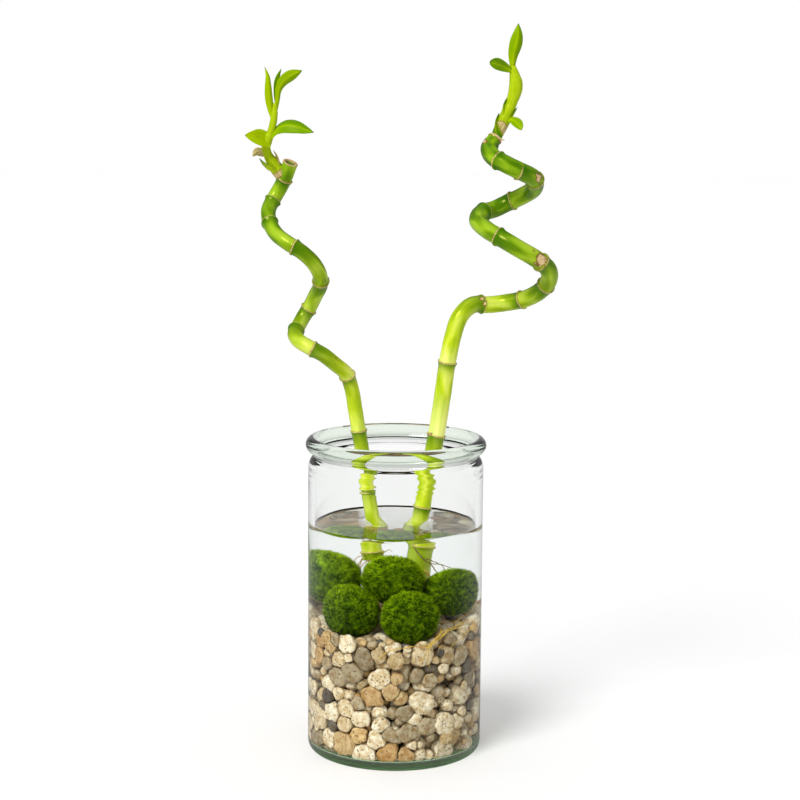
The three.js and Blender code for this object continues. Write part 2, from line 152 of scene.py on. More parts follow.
def ramp(tree, factor, *stops):
    """Colours by place from 0 to 1"""
    made = add_node(tree, "ValToRGB", Fac=factor)
    bar = made.color_ramp.elements
    bar[0].position, bar[0].color = stops[0][0], (*stops[0][1], 1)
    bar[1].position, bar[1].color = stops[-1][0], (*stops[-1][1], 1)
    for place, colour in stops[1:-1]:
        bar.new(place).color = (*colour, 1)
    return made.outputs[0]


def let_light_through(tree, surface):
    """Rays from lamps and soft light go straight through, so that they reach what is behind"""
    through = surface.outputs[0]
    for ray in ("Is Diffuse Ray", "Is Shadow Ray"):
        either = add_node(tree, "MixShader", Fac=add_node(tree, "LightPath").outputs[ray])
        tree.links.new(through, either.inputs[1])
        tree.links.new(add_node(tree, "BsdfTransparent").outputs[0], either.inputs[2])
        through = either.outputs[0]
    tree.links.new(through, tree.nodes["Material Output"].inputs["Surface"])


def clear_material(name, bends_light, tint, tint_strength):
    """A clear solid that takes on its tint through its thickness"""
    material, tree, surface = new_material(
        name, Base_Color=(1, 1, 1, 1), Roughness=0.0, IOR=bends_light, Transmission_Weight=1.0,
        Specular_Tint=(0, 0, 0, 1),
    )
    absorbed = add_node(tree, "VolumeAbsorption", Color=tint, Density=tint_strength)
    tree.links.new(absorbed.outputs[0], tree.nodes["Material Output"].inputs["Volume"])
    let_light_through(tree, surface)
    return material, tree, surface


jar_height, jar_radius, jar_inner, jar_floor = 195, 53.4, 49.6, 5
outer_corner, inner_corner, bead_round = 6, 3.5, 4.6
waist = [50.3, 183.5]
mouth_radius = 47.5
bead_middle = np.array([55 - bead_round, jar_height - bead_round])

bead_turn = np.linspace(-0.42 * math.pi, math.pi / 2, 26)
bead = bead_middle + bead_round * np.stack([np.cos(bead_turn), np.sin(bead_turn)], axis=1)
inside_corner = bent(
    [jar_inner - inner_corner, jar_floor], [jar_inner, jar_floor], [jar_inner, jar_floor + inner_corner], 14
)
jar_profile = np.vstack([
    [[2, 0], [20, 0], [40, 0]],
    bent([jar_radius - outer_corner, 0], [jar_radius, 0], [jar_radius, outer_corner], 14),
    upright(jar_radius, 12, 163, 28),
    upright(jar_radius, 165, 175, 26),
    bent([jar_radius, 175.5], [jar_radius, 180.5], waist, 24),
    bead,
    bent([bead_middle[0], jar_height], [mouth_radius, jar_height - 0.5], [mouth_radius, bead_middle[1]])[1:],
    bent([mouth_radius - 0.2, 184.5], [48.6, 182], [jar_inner, 176], 14),
    upright(jar_inner, 168, 12, 30),
    inside_corner[::-1],
    [[30, jar_floor], [2, jar_floor]],
])

# The pressed shoulder has faint ripples, and the wall isn't quite even
profile_radius, profile_height = jar_profile.T
outer_shoulder = (profile_radius > 50) & (profile_height < waist[1])
ripple = np.interp(profile_height, [166, 173, 181, waist[1]], [0, 0.055, 0.06, 0]) * outer_shoulder
jar_profile[:, 0] += ripple * np.sin(2 * math.pi * profile_height / 3.6 + np.sin(profile_height / 1.7))
jar_rows = turned(jar_profile, 192)
plain_wall = (jar_rows[..., 2] > 12) & (jar_rows[..., 2] < 172)
uneven_glass = 1 + 0.0011 * wobble(jar_rows * [1, 1, 0.3], 11, 2) * plain_wall
jar_rows[..., :2] *= uneven_glass[..., None]

# Green where the glass is thick: in the base, up to 8 mm, and a little in the rim. A darker band at the
# height of the inner floor is painted shade.
jar_glass, tree, surface = clear_material("jar_glass", 1.5, (0.4, 0.8, 0.45, 1), 4.5)
height = add_node(tree, "SeparateXYZ", Vector=add_node(tree, "TexCoord").outputs["Object"]).outputs[2]
height_share = add_node(tree, "MapRange", Value=height, From_Max=0.2).outputs[0]
thick_glass_tint_and_shade = ramp(
    tree, height_share,
    (0.0, (0.2, 0.43, 0.18)), (0.022, (0.2, 0.42, 0.16)), (0.027, (0.09, 0.22, 0.08)),
    (0.031, (0.45, 0.58, 0.42)), (0.038, (0.95, 0.95, 0.95)), (0.92, (0.95, 0.95, 0.95)),
    (0.94, (0.82, 0.87, 0.8)),
)
plug(tree, surface.inputs["Base Color"], thick_glass_tint_and_shade)
make_piece("glass_jar", *closed_skin(jar_rows), jar_glass, "jar_glass", "jar")


# Moss balls: soft green balls, each a dense core under thousands of fine upright threads. They lie
# loose on the pebbles and on each other.
moss_balls = {
    "moss_ball_front_left": ((-23.6, -22.5, 93), 16.2),
    "moss_ball_front_middle": ((8.5, -31.8, 91.5), 16.2),
    "moss_ball_top": ((-1.2, -7.4, 110), 15.2),
    "moss_ball_right": ((27, -2, 101), 14.6),
    "moss_ball_rear_left": ((-31, 5.8, 108.3), 16.5),
}
moss_thread_count = 14000
moss_thread_length = 2.4
moss_thread_width = 0.34
moss_core_depth = 1.3
moss_reach = 1.1
# Painted light: these balls are painted brighter than the others
moss_painted_light = {"moss_ball_top": 0.09, "moss_ball_rear_left": 0.16}


def round_points(fineness):
    """Directions of the corners and the triangles of an even ball"""
    ball = bmesh.new()
    bmesh.ops.create_icosphere(ball, subdivisions=fineness, radius=1)
    points = np.array([corner.co for corner in ball.verts])
    faces = np.array([[corner.index for corner in face.verts] for face in ball.faces])
    ball.free()
    return points, faces


def unit(vectors):
    """Vectors with the same heading and a length of 1"""
    return vectors / np.linalg.norm(vectors, axis=-1, keepdims=True)


def held_in(points, limit):
    """Points drawn in to the limit where they lie further out"""
    return points * np.minimum(1, limit / np.linalg.norm(points, axis=1))[:, None]


def store(piece, name, values):
    """Stores a number or a place for each point of a piece, which its material reads"""
    kind, field = ("FLOAT", "value") if values.ndim == 1 else ("FLOAT_VECTOR", "vector")
    piece.data.attributes.new(name, kind, "POINT").data.foreach_set(field, values.ravel())


def stored(tree, name, output="Fac"):
    """What store kept for each point"""
    return add_node(tree, "Attribute", attribute_name=name).outputs[output]


def blend(tree, amount, first, second, how="MIX"):
    """A mix of two colours"""
    made = add_node(tree, "Mix", data_type="RGBA", blend_type=how)
    for socket, value in zip((made.inputs[0], made.inputs[6], made.inputs[7]), (amount, first, second)):
        plug(tree, socket, value)
    return made.outputs[2]


def noise(tree, where, scale, detail, **given):
    """Uneven patches"""
    return add_node(tree, "TexNoise", Vector=where, Scale=scale, Detail=detail, **given).outputs[0]


def moss_ball_shape(middle, radius, painted_light, seed):
    """Points, triangles and how near each point is to a thread's tip, raised by clumps and by painted light
    """
    random = np.random.default_rng(seed)
    away, core_faces = round_points(6)
    core_reach = radius - moss_core_depth + 0.35 * wobble(away * radius, 3, seed)
    core_reach += 0.12 * wobble(away * radius, 1, seed)
    core = away * core_reach[:, None]

    out = unit(random.normal(size=(moss_thread_count, 3)))
    reach = radius - moss_core_depth - 0.2 + 0.35 * wobble(out * radius, 3, seed)
    lean = np.stack([wobble(out * radius, 1.5, seed + turn) for turn in (50, 60, 70)], axis=1)
    grow = unit(out + 0.35 * lean + 0.3 * random.normal(size=out.shape))
    side = unit(np.cross(grow, random.normal(size=out.shape)))
    over = np.cross(grow, side)
    foot = out * reach[:, None]
    # Clumps, and painted light: threads towards the top of a ball are paler and a little longer
    clump_and_top_light = 0.3 * wobble(out * radius, 2.2, seed + 20) + 0.5 * wobble(out * radius, 0.9, seed)
    clump_and_top_light = np.clip(0.58 + 0.26 * out[:, 2] + clump_and_top_light, 0, 1)
    length = moss_thread_length * random.uniform(0.55, 1.15, moss_thread_count) * (0.75 + 0.3 * clump_and_top_light)
    corners = [foot + moss_thread_width * (side * math.cos(turn) + over * math.sin(turn)) / 2
               for turn in (0, 2.1, 4.2)]
    tips = held_in(foot + grow * length[:, None], radius + moss_reach) + middle
    tips[:, :2] = held_in(tips[:, :2], jar_inner - 0.15)
    tips -= middle
    threads = np.stack([*corners, tips], axis=1).reshape(-1, 3)
    four = np.array([[0, 2, 1], [0, 1, 3], [1, 2, 3], [2, 0, 3]])
    thread_faces = len(core) + (np.arange(moss_thread_count)[:, None, None] * 4 + four).reshape(-1, 3)

    shade = 0.25 + painted_light + 0.2 * wobble(away * radius, 2.5, seed)
    tone = 0.14 + painted_light + 0.66 * clump_and_top_light + 0.3 * random.uniform(-1, 1, moss_thread_count)
    thread_shade = np.stack([0.6 * tone] * 3 + [tone], axis=1).ravel()
    points = np.vstack([core, threads]) + middle
    return points, [np.vstack([core_faces, thread_faces])], np.concatenate([shade, thread_shade])


moss, tree, surface = new_material("moss", Roughness=1.0, Specular_IOR_Level=0.0)
where = add_node(tree, "TexCoord").outputs["Object"]
patches = noise(tree, where, 160.0, 3.0)
moss_green = ramp(
    tree, stored(tree, "tip"),
    (0.0, (0.008, 0.018, 0.001)), (0.25, (0.035, 0.08, 0.003)), (0.55, (0.15, 0.29, 0.004)),
    (0.9, (0.5, 0.74, 0.012)),
)
patch_shade = ramp(tree, patches, (0.35, (0.6, 0.65, 0.5)), (0.65, (1.15, 1.1, 1.0)))
plug(tree, surface.inputs["Base Color"], blend(tree, 1.0, moss_green, patch_shade, "MULTIPLY"))
for seed, (name, (middle, radius)) in enumerate(moss_balls.items()):
    points, faces, tip = moss_ball_shape(middle, radius, moss_painted_light.get(name, 0), seed)
    ball = make_piece(name + "_tufts", points, faces, moss, "moss", name)
    store(ball, "tip", tip)


# Pebble bed: mixed water-worn river pebbles poured loose into the jar, cream, ochre, beige and dark
# grey, with a top that slopes a little down to the front.
pebble_count = 1250
pebble_sizes = [2.2, 3.0, 4.0, 5.2, 6.4]
pebble_share = [0.25, 0.27, 0.24, 0.16, 0.08]
settling_rounds = 70
neighbour_count = 24


def bed_top(y):
    """Height of the bed's top, lower at the front"""
    return 83 + 0.14 * y


def settle_pebbles(random):
    """Middles and radii of balls pushed apart until they fill the jar's lower part"""
    radius = random.choice(pebble_sizes, pebble_count, p=pebble_share)
    radius *= random.uniform(0.86, 1.14, pebble_count)
    turn = random.uniform(0, 2 * math.pi, pebble_count)
    reach = 46 * np.sqrt(random.uniform(0, 1, pebble_count))
    height = random.uniform(8, 84, pebble_count)
    place = np.stack([reach * np.cos(turn), reach * np.sin(turn), height], axis=1)
    for _ in range(settling_rounds):
        apart = place[:, None] - place[None]
        distance = np.linalg.norm(apart, axis=2) + 1e-6
        overlap = np.maximum(0, 0.96 * (radius[:, None] + radius[None]) - distance)
        np.fill_diagonal(overlap, 0)
        place += 0.32 * (apart * (overlap / distance)[..., None]).sum(axis=1)
        for middle, ball in moss_balls.values():
            away = place - middle
            distance = np.linalg.norm(away, axis=1)
            place += away * (np.maximum(0, ball + 0.75 * radius - distance) / distance)[:, None]
        place[:, :2] = held_in(place[:, :2], jar_inner - 0.72 * radius)
        highest = bed_top(place[:, 1]) - 0.6 * radius
        place[:, 2] = np.clip(place[:, 2], jar_floor + 0.7 * radius, highest)
    return place, radius


def pebble_shape(place, radius, planes, depths, edge, seed, away):
    """Points of one knobbly stone that stays inside its flat sides, its own ball and the jar"""
    facing = np.maximum(away @ planes.T, 0) / depths
    reach = ((facing**edge).sum(axis=1) + (1 / (1.3 * radius)) ** edge) ** (-1 / edge)
    points = away * reach[:, None]
    lumps = 0.08 * wobble(points, 3.4, seed % 19) + 0.035 * wobble(points, 1.5, seed % 17)
    dents = 0.16 * np.clip(wobble(points, 2.2, seed % 23) - 0.75, 0, 1)
    points = place + points * (1 + lumps - dents)[:, None]
    drop = np.clip(jar_floor + inner_corner - points[:, 2], 0, 3.4)
    room = jar_inner - 4.2 + np.sqrt(3.45**2 - drop**2)
    points[:, :2] = held_in(points[:, :2], room)
    points[:, 2] = np.maximum(points[:, 2], jar_floor + 0.1)
    return points


pebble_random = np.random.default_rng(23)
pebble_place, pebble_radius = settle_pebbles(pebble_random)
coarse_stone, plain_stone, fine_stone = (round_points(fineness) for fineness in (2, 3, 4))
outward = np.linalg.norm(pebble_place[:, :2], axis=1)
from_glass = jar_inner - outward - pebble_radius
from_top = bed_top(pebble_place[:, 1]) - pebble_place[:, 2]
stones = []
for i in range(pebble_count):
    apart = pebble_place - pebble_place[i]
    distance = np.linalg.norm(apart, axis=1)
    distance[i] = 1e9
    close = np.argsort(distance - pebble_radius)[:neighbour_count]
    planes = apart[close] / distance[close, None]
    depths = distance[close] ** 2 + pebble_radius[i] ** 2 - pebble_radius[close] ** 2
    depths /= 2 * distance[close]
    walls = [[*pebble_place[i, :2] / outward[i], 0], [0, 0, -1]]
    wall_depths = [jar_inner - 0.8 - outward[i], pebble_place[i, 2] - jar_floor]
    for middle, ball in moss_balls.values():
        toward = np.array(middle) - pebble_place[i]
        walls.append(toward / np.linalg.norm(toward))
        wall_depths.append(np.linalg.norm(toward) - ball)
    longest = unit(pebble_random.normal(size=3) * [1, 1, 0.7])
    depths = depths * (0.92 + 0.4 * (planes @ longest) ** 2)
    planes = np.vstack([planes, walls])
    depths = np.maximum(np.concatenate([depths, wall_depths]) - 0.05, 0.8)
    edge = pebble_random.choice([6, 9, 14])
    if from_glass[i] < 1.0:
        away, faces = fine_stone
    else:
        away, faces = plain_stone if from_glass[i] < 8 or from_top[i] < 12 else coarse_stone
    points = pebble_shape(pebble_place[i], pebble_radius[i], planes, depths, edge, i, away)
    stones.append((points, [faces], pebble_random.uniform()))

pebble_skin, tree, surface = new_material("river_pebbles", Roughness=0.55, Specular_IOR_Level=0.2)
where = add_node(tree, "TexCoord").outputs["Object"]
tone = stored(tree, "tone")
stone_colour = ramp(
    tree, tone,
    (0.0, (0.08, 0.075, 0.07)), (0.05, (0.14, 0.12, 0.095)), (0.09, (0.32, 0.27, 0.18)),
    (0.26, (0.46, 0.39, 0.26)), (0.32, (0.54, 0.41, 0.22)), (0.4, (0.5, 0.32, 0.14)),
    (0.48, (0.6, 0.43, 0.2)), (0.56, (0.64, 0.53, 0.34)), (0.75, (0.78, 0.7, 0.52)),
    (0.9, (0.82, 0.76, 0.6)), (1.0, (0.6, 0.54, 0.4)),
)
cloud = noise(tree, where, 300.0, 6.0, Roughness=0.7)
stain = ramp(tree, cloud, (0.34, (1.1, 1.1, 1.1)), (0.48, (0.9, 0.86, 0.78)), (0.62, (0.66, 0.5, 0.3)))
stone_colour = blend(tree, 1.0, stone_colour, stain, "MULTIPLY")
pits = add_node(tree, "TexVoronoi", Vector=where, Scale=600.0, Randomness=1.0).outputs["Distance"]
pit_area = noise(tree, where, 230.0, 2.0)
pit_edge = ramp(tree, pits, (0.16, (1, 1, 1)), (0.34, (0, 0, 0)))
pitted = ramp(tree, pit_area, (0.42, (0, 0, 0)), (0.52, (1, 1, 1)))
pit_mask = blend(tree, 1.0, pit_edge, pitted, "MULTIPLY")
stone_colour = blend(tree, pit_mask, stone_colour, (0.24, 0.15, 0.06, 1))
plug(tree, surface.inputs["Base Color"], stone_colour)
grain = noise(tree, where, 900.0, 4.0)
grain_bump = add_node(tree, "Bump", Height=grain, Strength=0.5, Distance=0.0003)
pit_bump = add_node(tree, "Bump", Height=pit_mask, Strength=0.8, Distance=0.0006, invert=True)
tree.links.new(grain_bump.outputs[0], pit_bump.inputs["Normal"])
plug(tree, surface.inputs["Normal"], pit_bump.outputs[0])


def joined(skins):
    """The points and faces of several skins as one"""
    starts = np.cumsum([0] + [len(points) for points, _ in skins])
    kinds = zip(*(faces for _, faces in skins))
    faces = [np.vstack([part + start for part, start in zip(kind, starts)]) for kind in kinds]
    return np.vstack([points for points, _ in skins]), faces


for number, name in enumerate(("pebbles_one", "pebbles_two", "pebbles_three")):
    share = stones[number::3]
    skins = [(points, faces) for points, faces, _ in share]
    pebbles = make_piece(name, *joined(skins), pebble_skin, "river_pebbles", "pebble_bed")
    store(pebbles, "tone", np.concatenate([np.full(len(points), tone) for points, _, tone in share]))


# Canes: two smooth waxy canes trained into coils, with a raised tan ring at every node. Each stands
# between the moss balls with its foot and roots in the pebbles.
class Route:
    """A smooth curve through points, measured along its length, with steady side directions"""

    def __init__(self, points):
        knots = np.array(points, float)
        knots = np.vstack([2 * knots[0] - knots[1], knots, 2 * knots[-1] - knots[-2]])
        t = np.linspace(0, 1, 16, endpoint=False)[:, None]
        fine = []
        for a, b, c, d in zip(knots, knots[1:], knots[2:], knots[3:]):
            ab, bc, cd = (np.linalg.norm(v) ** 0.5 for v in (b - a, c - b, d - c))
            leave = ((b - a) / ab - (c - a) / (ab + bc) + (c - b) / bc) * bc
            arrive = ((c - b) / bc - (d - b) / (bc + cd) + (d - c) / cd) * bc
            bend = 3 * (c - b) - 2 * leave - arrive
            fine.append(b + t * leave + t**2 * bend + t**3 * (2 * (b - c) + leave + arrive))
        self.places = np.vstack([*fine, knots[-2]])
        steps = np.linalg.norm(np.diff(self.places, axis=0), axis=1)
        self.along = np.concatenate([[0], np.cumsum(steps)])
        self.length = self.along[-1]
        self.headings = unit(np.gradient(self.places, axis=0))
        side = np.cross(self.headings[0], [0.1, 0.95, 0.2])
        sides = []
        for heading in self.headings:
            side = unit(side - heading * (side @ heading))
            sides.append(side)
        self.sides = np.array(sides)

    def at(self, along):
        """Place, heading and two side directions at distances along the route"""
        along = np.asarray(along, float)
        place, heading, side = (
            np.stack([np.interp(along, self.along, values[:, k]) for k in range(3)], axis=1)
            for values in (self.places, self.headings, self.sides)
        )
        heading = unit(heading)
        side = unit(side - heading * (side * heading).sum(axis=1)[:, None])
        return place, heading, side, np.cross(heading, side)


def tube_rows(route, along, radius, sides):
    """A ring of points round the route for each distance along it. The radius may differ round a ring."""
    place, _, side, over = route.at(along)
    turn = turns(sides)
    radius = np.asarray(radius, float)
    radius = radius[:, None] if radius.ndim == 1 else radius
    ring = side[:, None] * np.cos(turn)[:, None] + over[:, None] * np.sin(turn)[:, None]
    return place[:, None] + radius[..., None] * ring


canes = {}
canes["cane_left"] = dict(
    radius=4.5,
    rings=[5, 42, 79, 116, 148, 172, 189, 215, 247, 273, 292, 307],
    route=[
        (-9.3, 13.5, 119), (-10.8, 13.8, 130), (-14.2, 14, 141), (-16.4, 14, 153), (-20, 13.5, 178),
        (-23.1, 13, 196.5), (-25.3, 11.8, 210), (-27.2, 9, 222), (-30.5, 4.5, 232.5), (-36.5, -3, 239),
        (-44, -8.5, 245.8), (-52, -9.3, 250.3), (-58.5, -5, 253.5), (-61.7, 2, 257), (-60, 9.5, 261),
        (-57, 13.5, 266.5), (-53.5, 13.5, 272), (-49.5, 8.5, 280), (-46.3, 1, 287), (-46.5, -7, 294.5),
        (-50, -12.8, 301.5), (-56.5, -15.7, 308), (-64.5, -14.5, 313), (-72, -8.7, 318), (-76.8, 0, 325),
        (-77.8, 8, 331.5), (-75, 13, 338), (-71.5, 14, 344), (-68.5, 12.5, 350), (-64.6, 9, 360),
    ],
    light=[(0, 0.85), (60, 0.88), (85, 1.0), (110, 1.1), (135, 0.75), (190, 0.35), (240, 0.35),
           (260, 0.15), (318, 0.12)],
    scars=[((-37, -8.7, 244.1), 0.6), ((-58, 12, 262), 1.6)],
)
canes["cane_right"] = dict(
    radius=5.2,
    rings=[44, 66, 112, 158, 205, 232, 255, 280, 311, 348, 369, 400, 415, 429],
    route=[
        (9.3, 15, 84), (9.5, 14.8, 108), (10.7, 14.5, 126), (15.2, 14, 141), (19.5, 13.5, 167),
        (24.7, 12.5, 194), (28, 11.5, 217), (31.2, 10, 241), (34.2, 9.3, 256), (38.5, 10, 268),
        (46, 15, 274.2), (56.5, 20, 274), (66, 20, 275.2), (76, 14.5, 277.7), (85, 5.5, 283),
        (90.6, -4, 291), (89.5, -13.5, 299), (82, -20, 305.5), (72.5, -22.5, 311), (62, -19.5, 317),
        (53, -11.5, 321.8), (48, 0, 326.5), (50.5, 10, 330.5), (58.5, 17, 332.5), (67, 18, 336.5),
        (75.5, 13, 341), (81.5, 4, 346), (80.5, -7, 352.2), (72.5, -14, 356.5), (63, -15.5, 361),
        (56.3, -11, 364.5), (54, -3, 369.3), (55.8, 1, 373), (58.4, 3, 376.3),
    ],
    light=[(0, 0.82), (60, 0.85), (90, 0.9), (115, 1.2), (150, 1.15), (170, 0.95), (205, 0.75),
           (240, 0.45), (300, 0.22), (453, 0.08)],
    scars=[
        ((84.5, -24, 305.2), 3.4), ((82.8, -11.3, 352.7), 2.2), ((51.7, 14, 278.6), 1.3),
        ((53.5, 12.6, 275.1), 1.0), ((20.7, 8.3, 195.3), 1.0), ((51.4, -3.9, 373.4), 1.6),
    ],
)


def cane_stations(cane, length):
    """Distances along the cane, closer together at its rings"""
    even = np.arange(0.6, length - 8, 1.3)
    steps = [-3, -2.2, -1.5, -1.1, -0.8, -0.5, -0.25, 0, 0.25, 0.5, 0.75, 1, 1.3, 1.8, 2.5]
    at_rings = np.add.outer(cane["rings"], steps).ravel()
    far = np.abs(even[:, None] - at_rings).min(axis=1) > 0.5
    return np.sort(np.concatenate([even[far], at_rings[at_rings < length - 8]]))


def fibres(tree, stretch, fineness, detail):
    """Uneven streaks along a piece, drawn out as the skin of the plant is"""
    place = add_node(tree, "Mapping", Vector=stored(tree, "along_skin", "Vector"), Scale=stretch)
    return noise(tree, place.outputs[0], fineness, detail)


def share_of(tree, value, low, high):
    """From 0 to 1 while the value runs from low to high"""
    return add_node(tree, "MapRange", Value=value, From_Min=low, From_Max=high).outputs[0]


def raised(tree, surface, height, strength, depth):
    """A surface that rises with a pattern"""
    bump = add_node(tree, "Bump", Height=height, Strength=strength, Distance=depth)
    plug(tree, surface.inputs["Normal"], bump.outputs[0])


plant_gloss = (1, 1, 0.2, 1)
cane_skin, tree, surface = new_material(
    "cane_skin", Roughness=0.23, Specular_IOR_Level=0.45, Specular_Tint=plant_gloss
)
streaks = fibres(tree, (0.025, 1.0, 1.0), 0.5, 3.0)
clouds = fibres(tree, (0.35, 1.0, 1.0), 0.16, 1.0)
deep = ramp(tree, clouds, (0.4, (0.028, 0.125, 0.0)), (0.5, (0.1, 0.25, 0.0)), (0.62, (0.23, 0.41, 0.0)))
pale = ramp(tree, clouds, (0.36, (0.4, 0.54, 0.008)), (0.5, (0.53, 0.65, 0.02)), (0.66, (0.7, 0.76, 0.12)))
skin_colour = blend(tree, stored(tree, "light"), deep, pale)
# Where light passes 1 the skin turns near white-yellow: partly the paler young skin, partly a painted
# highlight on the straight stretches
pale_and_painted_highlight = share_of(tree, stored(tree, "light"), 1.0, 1.5)
skin_colour = blend(tree, pale_and_painted_highlight, skin_colour, (0.82, 0.84, 0.3, 1))
fine_streaks = ramp(tree, streaks, (0.35, (0.88, 0.93, 0.8)), (0.65, (1.08, 1.05, 1.1)))
skin_colour = blend(tree, 1.0, skin_colour, fine_streaks, "MULTIPLY")
skin_colour = blend(tree, stored(tree, "shaded"), skin_colour, (0.03, 0.125, 0.0, 1))
cork = noise(tree, stored(tree, "along_skin", "Vector"), 1.3, 3.0)
ring_colour = ramp(tree, cork, (0.38, (0.36, 0.19, 0.06)), (0.58, (0.68, 0.49, 0.26)))
skin_colour = blend(tree, stored(tree, "ring"), skin_colour, ring_colour)
skin_colour = blend(tree, stored(tree, "groove"), skin_colour, (0.16, 0.09, 0.02, 1))
cork_colour = ramp(tree, cork, (0.35, (0.4, 0.23, 0.08)), (0.6, (0.75, 0.57, 0.32)))
scar_inside = share_of(tree, stored(tree, "scar"), 0.55, 0.95)
scar_edge = share_of(tree, stored(tree, "scar"), 0.15, 0.5)
cork_colour = blend(tree, scar_inside, (0.16, 0.075, 0.015, 1), cork_colour)
skin_colour = blend(tree, scar_edge, skin_colour, cork_colour)
plug(tree, surface.inputs["Base Color"], skin_colour)
raised(tree, surface, streaks, 0.08, 0.0003)

water_level = 141
ring_form = ([-3.4, -2, -0.9, -0.4, 0.2, 0.45, 1.1], [0, 0.15, 0.6, 0.85, 0.75, 0.15, 0])
half_ring = 415
cane_ends = {
    "cane_left": [
        (-7.5, 0), (-5, 0), (-2.5, 0.05), (-0.9, 0.15), (-0.15, 0.2), (0, 0.0), (0, -0.6), (-0.15, -1.1),
        (-0.6, -1.3), (-3, -1.5), (-6, -1.7), (-7, -2.4), (-7, -4.2),
    ],
    "cane_right": [
        (-7.5, -0.1), (-5.5, -0.3), (-3.6, -0.8), (-2.6, -0.85), (-2, -0.6), (-1.4, -0.55), (-0.8, -0.8),
        (-0.3, -1.4), (-0.05, -2.2), (0, -3.4), (0, -4.9),
    ],
}
cane_routes = {}
for name, cane in canes.items():
    route = Route(cane["route"])
    cane_routes[name] = route
    length, radius, sides = route.length, cane["radius"], 36
    along = cane_stations(cane, length)
    turn = turns(sides)
    around = along[:, None] + 0 * turn
    swell = np.zeros(around.shape)
    ring_mark = np.zeros(around.shape)
    groove_mark = np.zeros(around.shape)
    for number, ring in enumerate(cane["rings"]):
        ragged = 0.3 * np.sin(turn + number) + 0.16 * np.sin(3 * turn + 2.3 * number)
        _, _, side, over = route.at([ring])
        upward = side[0, 2] * np.cos(turn) + over[0, 2] * np.sin(turn)
        partial = np.clip(0.6 - 1.1 * upward, 0, 1) if ring == half_ring else 1.0
        past = around - ring - ragged
        swell += partial * np.interp(past, *ring_form)
        ring_mark += partial * np.exp(-((past + 0.1) / 0.28) ** 2)
        groove_mark += np.maximum(partial, 0.8) * 0.6 * np.exp(-((past - 0.4) / 0.2) ** 2)
    reach = radius + swell

    # Palest just above each ring and darkest just below the next
    ring_places = np.array([-30] + cane["rings"] + [length + 25])
    above = np.searchsorted(ring_places, along, side="right")
    next_ring = ring_places[above] - along
    low_in_joint = next_ring / (ring_places[above] - ring_places[above - 1])
    shade_reach = 7 - 2.5 * (-1.0) ** above
    shaded = 0.75 * np.exp(-((next_ring / shade_reach) ** 1.6))[:, None] + 0 * turn
    shaded[route.at(along)[0][:, 2] < water_level] *= 0.2
    light = (np.interp(along, *zip(*cane["light"])) * (0.55 + 0.6 * low_in_joint**0.7))[:, None] + 0 * turn

    # The foot is cut flat. The left top is cut to a hollow with a tan edge, and the right one is closed.
    end_along, end_reach = np.array(cane_ends[name]).T
    along = np.concatenate([[0, 0, 0.1], along, length + end_along])
    foot_reach = np.array([0.4, radius - 0.8, radius - 0.2])
    reach = np.vstack([foot_reach[:, None] + 0 * turn, reach, radius + end_reach[:, None] + 0 * turn])
    foot_rows = np.zeros((len(foot_reach), sides))
    end_rows = np.zeros((len(end_reach), sides))
    end_number = np.arange(len(end_reach))[:, None] + 0 * turn
    hollow = name == "cane_left"
    cut = np.interp(end_number, [3, 4.4, 7, 9], [0, 1, 1, 1 - hollow])
    # Painted shade inside the left top's hollow
    dark_inside = hollow * (end_number > 8)
    uneven = 0.05 * wobble(tube_rows(route, along, reach, sides), 6, 3)
    points, faces = closed_skin(tube_rows(route, along, reach + uneven, sides))

    piece = make_piece(name + "_stem", points, faces, cane_skin, "cane_skin", name)
    scar = np.zeros(len(points))
    for spot, size in cane["scars"]:
        distance = np.linalg.norm(points - spot, axis=1) * (1 + 0.25 * wobble(points, 1.2, 5))
        scar = np.maximum(scar, np.clip(2.4 - 1.7 * distance / size, 0, 1))
    corked = np.vstack([foot_rows, swell * 0, cut * (1 - hollow)]).ravel()
    scar[: len(corked)] = np.maximum(scar[: len(corked)], corked)
    scar[-1] = 1 - hollow
    store(piece, "scar", scar)
    skin_place = [np.repeat(along, sides), (reach * np.cos(turn)).ravel(), (reach * np.sin(turn)).ravel()]
    store(piece, "along_skin", np.vstack([np.stack(skin_place, axis=1), [[0, 0, 0], [length, 0, 0]]]))
    marks = {
        "ring": [foot_rows, ring_mark, hollow * cut],
        "groove": [foot_rows, groove_mark, end_rows],
        "shaded": [foot_rows, shaded, 0.9 * dark_inside],
        "light": [foot_rows + light[0], light, end_rows + light[-1] * (cut < 0.1)],
    }
    for mark, parts in marks.items():
        values = np.vstack(parts)
        store(piece, mark, np.concatenate([values.ravel(), values[[0, -1], 0]]))


